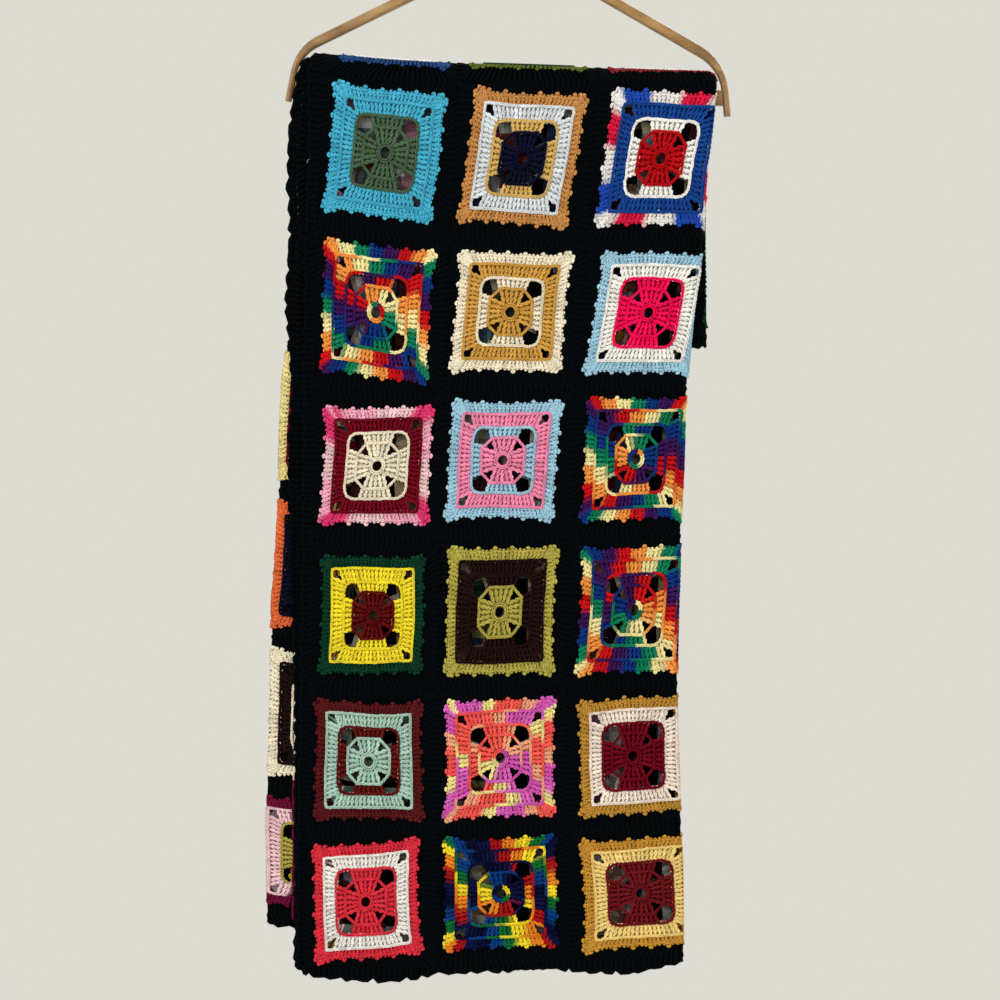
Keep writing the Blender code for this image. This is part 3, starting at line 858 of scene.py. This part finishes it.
def build_mesh(name, cloth, material):
    """One hanging mesh of all that was gathered, with its yarn colours."""
    points, corners, bake_map, ply_map, shades = gathered(cloth)
    places = hang(points[:, 0], points[:, 1], points[:, 2])
    mesh = bpy.data.meshes.new(name)
    mesh.vertices.add(len(places))
    mesh.vertices.foreach_set("co", places.astype(np.float32).ravel())
    mesh.loops.add(corners.size)
    mesh.loops.foreach_set("vertex_index", corners.astype(np.int32).ravel())
    mesh.polygons.add(len(corners))
    mesh.polygons.foreach_set("loop_start", np.arange(0, corners.size, 4, dtype=np.int32))
    mesh.update(calc_edges=True)
    # The yarn colour of each point, darkened as painted shade on the backing's faces and as painted shadow
    # on hidden squares.
    shade = mesh.color_attributes.new("yarn", "FLOAT_COLOR", "POINT")
    rgba = np.hstack([shades, np.ones((len(places), 1))])
    shade.data.foreach_set("color", rgba.astype(np.float32).ravel())
    for map_name, values in (("OFBake", bake_map), ("ply", ply_map)):
        layer = mesh.uv_layers.new(name=map_name)
        layer.data.foreach_set("uv", values.astype(np.float32).ravel())
    mesh.shade_smooth()
    mesh.materials.append(material)
    piece = add_object(name, mesh)
    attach(piece, "root")
    return piece


def square_place(column, row, pull):
    """A function that lays out a square's own points, in millimetres, on the flat blanket."""
    shift_across, shift_along, grow_across, grow_along, lean, slope = pull
    phases = random.uniform(0, 2 * math.pi, (2, 2))

    def sway(one_way, other_way, phase, change):
        return WOBBLE * np.sin(one_way / WOBBLE_LENGTH + phase) * np.cos(change + other_way / WOBBLE_CHANGE)

    def to_blanket(points):
        across, along, height = np.moveaxis(points, -1, 0)
        reach = np.maximum(np.abs(across), np.abs(along))
        hold = 1 - smooth_step(COLOURED, HALF_CELL, reach)
        sway_across = sway(along, across, *phases[0])
        sway_along = sway(across, along, *phases[1])
        pulled_across = across + hold * (shift_across + grow_across * across + lean * along + sway_across)
        pulled_along = along + hold * (shift_along + grow_along * along - slope * across + sway_along)
        crown = PUFF * np.cos(math.pi / 2 * across / HALF_CELL) * np.cos(math.pi / 2 * along / HALF_CELL)
        place = EDGING_WIDTH + (column + 0.5) * SQUARE_PITCH + pulled_across / MILLIMETRES
        place_along = row + 0.5 + pulled_along / (2 * HALF_CELL)
        return np.stack([place, place_along, (height + crown) / MILLIMETRES], axis=-1)

    return to_blanket


def add_backing(backing, column, kind, to_blanket, hidden, phases):
    """The thin backing of one square.

    It leaves the middle hole and the gaps in the corners open. Its colour is painted shade: the yarn's
    colour darkened, and in a hidden square greyed and darkened further at random as painted shadow. A hidden
    square's smallest corner holes are closed.
    """
    cuts = FOLD_CUTS if column in FOLDED_COLUMNS else 1
    for number, (inner, outer, _, yarn) in enumerate(rounds_of(kind)):
        run = directions(inner, outer)
        start = inner - run * BACKING_STARTS[number]
        end = outer + run * BACKING_ENDS[number]
        many = len(inner)
        first = np.arange(many)
        has_corner_posts = number > 0 and ROUNDS[number - 1].in_corner > 0
        is_closed = number == 0 or has_corner_posts or (hidden and number == CORNER_HOLE_ROUND)
        if not is_closed:
            on_side = many // 4
            first = first[first % on_side != on_side - 1]
        after = (first + 1) % many
        colours = yarn_colours(yarn, many, phases[number])[first]
        if hidden:
            # Painted shadow on a hidden square: greyed, and darkened at random for each face.
            grey = colours.mean(axis=1, keepdims=True)
            shadow = random.uniform(*HIDDEN_PAINTED_SHADOWS, (len(colours), 1))
            colours = mix(colours, grey, HIDDEN_SHADOW_DULLNESS) * shadow
        else:
            # Painted shade: the backing shows as darker gaps between the posts.
            colours = colours * BACKING_PAINTED_SHADE
        for cut in range(cuts):
            low, high = cut / cuts, (cut + 1) / cuts
            places = ((first, low), (after, low), (after, high), (first, high))
            corners = [mix(start[post], end[post], share) for post, share in places]
            faces = at_height(np.stack(corners, axis=1), BACKING_STEP * number)
            backing.add_faces(faces, colours, to_blanket)


def lobes():
    """How far each post of the last coloured round stands out: every few do, and most corner posts."""
    side = LOBE_REACH * (np.arange(ROUNDS[-2].on_side) % LOBE_EVERY == 1)
    return np.tile(np.concatenate([side, CORNER_LOBES]), 4)[:, None]


def square_posts(number, base, tip, lift, fine):
    """The posts of one round of a square."""
    narrowing = RING_NARROWING if number == 0 else 1.0
    if number == len(ROUNDS):
        return plain_posts(base, tip, lift - BLACK_DROP, BLACK_STRAND, TOOTH_LIFT)
    if fine:
        return twisted_posts(base, tip, lift, narrowing)
    return plain_posts(base, tip, lift - PLAIN_DROP, PLAIN_STRAND * narrowing)


def square_chain(number, chain, lift, fine):
    """The chain along one round of a square. The ring's is two plain strands, one inside the other."""
    if not fine:
        return plain_chain(chain, lift + PLAIN_CHAIN_LIFT, PLAIN_CHAIN_STRAND)
    if number > 0:
        return chain_links(chain, lift + CHAIN_LIFT, CHAIN_STRAND)
    groups = []
    for radius, size in RING_STRANDS:
        groups += plain_chain(chain * radius / RING_OUTER, lift + CHAIN_LIFT, size)
    return groups


def within(values, limits):
    return (values > limits[0]) & (values < limits[1])


def add_square(stitches, kind, to_blanket, phases, fine, lift, limits):
    """The stitches of one square, between limits across it. Fine ones are twisted and linked."""
    for number, (inner, outer, chain, yarn) in enumerate(rounds_of(kind)):
        colours = yarn_colours(yarn, len(inner), phases[number])
        run = directions(inner, outer)
        tips = jittered(outer, POST_JITTER)
        shown = within((inner[:, 0] + outer[:, 0]) / 2, limits)
        if number == len(ROUNDS) - 1:
            stands = lobes()
            tips = tips + run * (stands + random.normal(0.0, LOBE_JITTER, stands.shape) - TIP_INSET)
            is_lobe = stands[shown] > LOBE_REACH / 2
            sides = POST_SIDES if fine else CHAIN_SIDES
            loops = tip_loops(tips[shown], run[shown], is_lobe, lift + LOOP_LIFT, sides)
            stitches.add_tubes(loops, colours[shown], to_blanket)
            if fine:
                inside = (tips - run * EDGE_CHAIN_DIP)[shown]
                edge = plain_chain(inside, lift + EDGE_CHAIN_LIFT, EDGE_CHAIN)
                stitches.add_tubes(edge, colours[shown], to_blanket)
        base = jittered(inner - run * POST_OVERLAPS[number], POST_JITTER)
        posts = square_posts(number, base[shown], tips[shown], lift, fine)
        stitches.add_tubes(posts, colours[shown], to_blanket)
        if number < len(ROUNDS) - 1:
            shown = within(chain[:, 0], limits)
            links = square_chain(number, jittered(chain, CHAIN_JITTER), lift, fine)
            colours = colours[np.arange(len(chain)) * len(colours) // len(chain)]
            stitches.add_tubes([link[shown] for link in links], colours[shown], to_blanket)


def edging_posts():
    """Inner and outer ends of the edging's stitches, once round the flat blanket, in millimetres."""
    left = MILLIMETRES * EDGING_WIDTH
    right = MILLIMETRES * (BLANKET_WIDTH - EDGING_WIDTH)
    top = MILLIMETRES * ROWS * ROW_PITCH
    corners = np.array([(left, 0.0), (right, 0.0), (right, top), (left, top)])
    outward = np.array([(0.0, -1.0), (1.0, 0.0), (0.0, 1.0), (-1.0, 0.0)])
    turn = np.linspace(0, math.pi / 2, EDGING_CORNER_POSTS)[:, None]
    inner, direction = [], []
    for side in range(4):
        following = (side + 1) % 4
        start, end = corners[side], corners[following]
        many = round(np.linalg.norm(end - start) / EDGING_STITCH)
        inner.append(start + (end - start) * (np.arange(many)[:, None] + 0.5) / many)
        direction.append(np.repeat(outward[side][None], many, axis=0))
        inner.append(np.repeat(end[None], EDGING_CORNER_POSTS, axis=0))
        direction.append(outward[side] * np.cos(turn) + outward[following] * np.sin(turn))
    inner, direction = np.vstack(inner), np.vstack(direction)
    number = np.arange(len(inner))[:, None]
    scallop = np.abs(np.sin(math.pi * number / SCALLOP_STITCHES))
    reach = MILLIMETRES * EDGING_WIDTH - EDGING_INSET + SCALLOP * scallop
    return inner, inner + direction * reach


def edging_place(points):
    """Where the edging's points lie on the flat blanket. Its bottom edge sags as HEM says."""
    across, along, height = np.moveaxis(points, -1, 0)
    sag = smooth_table(HEM, np.clip(across, 0, HEM[-1][0]))[..., 0]
    lowered = along - sag * np.clip(-along / HEM_DEPTH, 0.0, 1.0)
    row = lowered / (MILLIMETRES * ROW_PITCH)
    return np.stack([across / MILLIMETRES, row, height / MILLIMETRES], axis=-1)


def make_edging(material):
    """The black crocheted edge: a backing strip in painted shade, a post for each stitch and a scalloped
    chain.
    """
    edging = Cloth()
    inner, outer = edging_posts()
    run = directions(inner, outer)
    colours = yarn_colours("black", len(inner), 0)
    base = jittered(inner - run * POST_OVERLAP, EDGING_JITTER)
    outer = jittered(outer, EDGE_UNEVENNESS)
    edging.add_tubes(plain_posts(base, outer, EDGING_LIFT, BLACK_STRAND), colours, edging_place)
    edging.add_tubes(plain_chain(outer, EDGING_LIFT, EDGING_CHAIN), colours, edging_place)
    after = np.roll(np.arange(len(inner)), -1)
    strip = np.stack([inner, outer, outer[after], inner[after]], axis=1)
    # The strip is the black yarn darkened as painted shade for the gaps between the posts.
    edging.add_faces(at_height(strip, 0.0), colours * BACKING_PAINTED_SHADE, edging_place)
    return build_mesh("crochet_edging", edging, material)


def nodes_of(name):
    """A new material with its node tree and its shader."""
    material = bpy.data.materials.new(name)
    material.use_nodes = True
    tree = material.node_tree
    return material, tree, tree.nodes["Principled BSDF"]


def object_place(tree):
    return tree.nodes.new("ShaderNodeTexCoord").outputs["Object"]


def noise_node(tree, source, scale, detail):
    noise = tree.nodes.new("ShaderNodeTexNoise")
    noise.inputs["Scale"].default_value = scale
    noise.inputs["Detail"].default_value = detail
    tree.links.new(source, noise.inputs["Vector"])
    return noise.outputs["Fac"]


def ramp_node(tree, source, stops):
    """A colour ramp. Each of its stops is a place and an sRGB colour, or a place and a share of white."""
    ramp = tree.nodes.new("ShaderNodeValToRGB")
    elements = ramp.color_ramp.elements
    while len(elements) < len(stops):
        elements.new(1.0)
    for element, (place, value) in zip(elements, stops):
        element.position = place
        shade = linear(value) if isinstance(value, tuple) else (value, value, value)
        element.color = (*shade, 1.0)
    tree.links.new(source, ramp.inputs["Fac"])
    return ramp.outputs["Color"]


def multiply(tree, first, second, amount):
    blend = tree.nodes.new("ShaderNodeMix")
    blend.data_type = "RGBA"
    blend.blend_type = "MULTIPLY"
    blend.inputs["Factor"].default_value = amount
    tree.links.new(first, blend.inputs["A"])
    tree.links.new(second, blend.inputs["B"])
    return blend.outputs["Result"]


def bump_node(tree, height, strength, distance, under=None):
    """The normal that a bump gives, over another bump's where there is one."""
    bump = tree.nodes.new("ShaderNodeBump")
    bump.inputs["Strength"].default_value = strength
    bump.inputs["Distance"].default_value = distance
    tree.links.new(height, bump.inputs["Height"])
    if under is not None:
        tree.links.new(under, bump.inputs["Normal"])
    return bump.outputs["Normal"]


def yarn_material():
    """Matt, slightly fuzzy yarn of several plies, with painted shade in the grooves between them. Its colour
    comes with each stitch.
    """
    material, tree, shader = nodes_of("crochet_yarn")
    shader.inputs["Roughness"].default_value = 0.9
    shader.inputs["Specular IOR Level"].default_value = 0.05
    yarn = tree.nodes.new("ShaderNodeVertexColor")
    yarn.layer_name = "yarn"
    place = object_place(tree)
    mottle = noise_node(tree, place, scale=420.0, detail=2.0)
    fuzz = noise_node(tree, place, scale=1900.0, detail=3.0)
    tone = ramp_node(tree, mottle, ((0.30, 0.72), (0.70, 1.0)))
    colour = multiply(tree, yarn.outputs["Color"], tone, amount=0.8)
    plies = tree.nodes.new("ShaderNodeUVMap")
    plies.uv_map = "ply"
    twist = tree.nodes.new("ShaderNodeTexWave")
    twist.bands_direction = "DIAGONAL"
    twist.inputs["Scale"].default_value = 2 * math.pi / WAVE_RADIANS
    tree.links.new(plies.outputs["UV"], twist.inputs["Vector"])
    # Painted shade: the colour darkens in the grooves along the twist of the plies.
    painted_ply_shade = ramp_node(tree, twist.outputs["Fac"], ((0.0, 0.62), (0.55, 1.0)))
    colour = multiply(tree, colour, painted_ply_shade, amount=0.6)
    tree.links.new(colour, shader.inputs["Base Color"])
    normal = bump_node(tree, twist.outputs["Fac"], strength=0.6, distance=0.0006)
    normal = bump_node(tree, fuzz, strength=0.5, distance=0.0003, under=normal)
    tree.links.new(normal, shader.inputs["Normal"])
    return material


def wood_material():
    """Clear varnished light wood with its grain along the rod and the bar."""
    material, tree, shader = nodes_of("varnished_wood")
    shader.inputs["Roughness"].default_value = 0.42
    place = object_place(tree)
    stretch = tree.nodes.new("ShaderNodeMapping")
    stretch.inputs["Scale"].default_value = (0.12, 1.0, 0.30)
    tree.links.new(place, stretch.inputs["Vector"])
    grain = noise_node(tree, stretch.outputs["Vector"], scale=260.0, detail=5.0)
    patches = noise_node(tree, place, scale=14.0, detail=2.0)
    colour = ramp_node(tree, grain, WOOD_TONES)
    tone = ramp_node(tree, patches, ((0.3, 0.78), (0.7, 1.0)))
    tree.links.new(multiply(tree, colour, tone, amount=1.0), shader.inputs["Base Color"])
    normal = bump_node(tree, grain, strength=0.25, distance=0.0004)
    tree.links.new(normal, shader.inputs["Normal"])
    return material


def wire_material():
    """Plated steel wire with faint drawing marks."""
    material, tree, shader = nodes_of("plated_wire")
    shader.inputs["Metallic"].default_value = 1.0
    marks = noise_node(tree, object_place(tree), scale=700.0, detail=3.0)
    tree.links.new(ramp_node(tree, marks, WIRE_TONES), shader.inputs["Base Color"])
    tree.links.new(ramp_node(tree, marks, ((0.2, 0.22), (0.8, 0.38))), shader.inputs["Roughness"])
    normal = bump_node(tree, marks, strength=0.15, distance=0.0001)
    tree.links.new(normal, shader.inputs["Normal"])
    return material


def floor_material():
    material, tree, shader = nodes_of("pale_floor")
    shader.inputs["Roughness"].default_value = 0.8
    speckle = noise_node(tree, object_place(tree), scale=30.0, detail=4.0)
    tree.links.new(ramp_node(tree, speckle, FLOOR_TONES), shader.inputs["Base Color"])
    return material


def kind_of(column, row):
    """What kind of square is at this place of the flat blanket. Hidden squares take the kinds in turn."""
    if column < FRONT_COLUMNS:
        return FRONT[row][column]
    if column == LEFT_FOLD_COLUMN:
        return LEFT_FOLD_SQUARES[row]
    if column == FREE_EDGE_B_COLUMN:
        return FREE_EDGE_B_SQUARES[row]
    names = list(SQUARES)
    return names[(KINDS_PER_COLUMN * column + KINDS_PER_ROW * row + FIRST_KIND) % len(names)]


def make_blanket(yarn):
    """The backing sheet, in painted shade, and the stitches on it, which are fine on the front and plainer
    at the back.
    """
    backing = Cloth()
    front = [Cloth() for _ in range(FRONT_COLUMNS)]
    back_upper, back_lower, edges = Cloth(), Cloth(), Cloth()
    for column in range(COLUMNS):
        for row in range(ROWS):
            kind = kind_of(column, row)
            place = square_place(column, row, PULLS.get((column, row), UNPULLED))
            phases = PHASES.get((column, row), random.uniform(0, LAST_PHASE, len(ROUNDS) + 1))
            is_lower = FRONT_COLUMNS <= column < LEFT_FOLD_COLUMN and row < BACK_LOWER_ROWS
            hidden = column >= FRONT_COLUMNS and not is_lower
            add_backing(backing, column, kind, place, hidden, phases)
            if column < FRONT_COLUMNS and row < FRONT_ROWS:
                add_square(front[column], kind, place, phases, *ON_FRONT)
            elif column < FRONT_COLUMNS:
                add_square(back_upper, kind, place, phases, *ON_BACK_UPPER)
            elif is_lower:
                add_square(back_lower, kind, place, phases, *ON_BACK_LOWER)
            elif column == LEFT_FOLD_COLUMN and row < FRONT_ROWS:
                add_square(edges, kind, place, phases, *ON_LEFT_FOLD)
            elif column == FREE_EDGE_B_COLUMN:
                add_square(edges, kind, place, phases, *ON_FREE_EDGE_B)
    sheet = build_mesh("crochet_backing_painted_shade", backing, yarn)
    pieces = {f"front_stitches_{number}": cloth for number, cloth in enumerate(front, start=1)}
    pieces["back_upper_stitches"] = back_upper
    pieces["back_lower_stitches"] = back_lower
    pieces["layer_edge_stitches"] = edges
    return sheet, [build_mesh(name, cloth, yarn) for name, cloth in pieces.items()]


def add_light(name, place, target, size, power):
    """A round soft light at a place, turned to its target."""
    light = bpy.data.lights.new(name, "AREA")
    light.shape = "DISK"
    light.size = size
    light.energy = power
    lamp = add_object(name, light)
    lamp.location = place
    lamp.rotation_euler = (target - lamp.location).to_track_quat("-Z", "Y").to_euler()


def make_stage():
    """A pale floor well below the blanket, a pale world, soft lights and the camera."""
    low, high = CAD_BOX
    middle = (low + high) / 2
    bpy.ops.mesh.primitive_circle_add(
        vertices=FLOOR_SIDES, radius=FLOOR_RADIUS, fill_type="NGON", location=(0, 0, low.z - FLOOR_DROP)
    )
    floor = bpy.context.active_object
    floor.name = "floor"
    floor.data.materials.append(floor_material())
    world = bpy.data.worlds.new("pale_room")
    world.use_nodes = True
    sky = world.node_tree.nodes["Background"]
    sky.inputs["Color"].default_value = (*linear(ROOM_COLOUR), 1.0)
    sky.inputs["Strength"].default_value = 1.0
    bpy.context.scene.world = world
    for name, offset, size, power in LIGHTS:
        add_light(name, middle + Vector(offset), middle, size, power)
    camera_data = bpy.data.cameras.new("camera")
    camera_data.sensor_width = SENSOR_WIDTH
    camera_data.lens = SENSOR_WIDTH * CAMERA_DISTANCE / VIEW_WIDTH
    camera = add_object("camera", camera_data)
    camera.location = (VIEW_ACROSS, low.y - CAMERA_DISTANCE, VIEW_HEIGHT)
    camera.rotation_euler = (math.pi / 2, 0.0, 0.0)
    bpy.context.scene.camera = camera
    bpy.context.scene.view_settings.view_transform = "Standard"


def dress_hanger():
    """Wood and wire on the hanger's own meshes."""
    wood = wood_material()
    materials = {"hanger_shoulders": wood, "hanger_bar": wood, "hanger_hook": wire_material()}
    for node, material in materials.items():
        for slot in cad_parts[node].material_slots:
            slot.material = material


def main():
    make_stage()
    dress_hanger()
    yarn = yarn_material()
    sheet, stitches = make_blanket(yarn)
    edging = make_edging(yarn)
    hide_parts("blanket_panel")
    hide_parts("edging")


main()
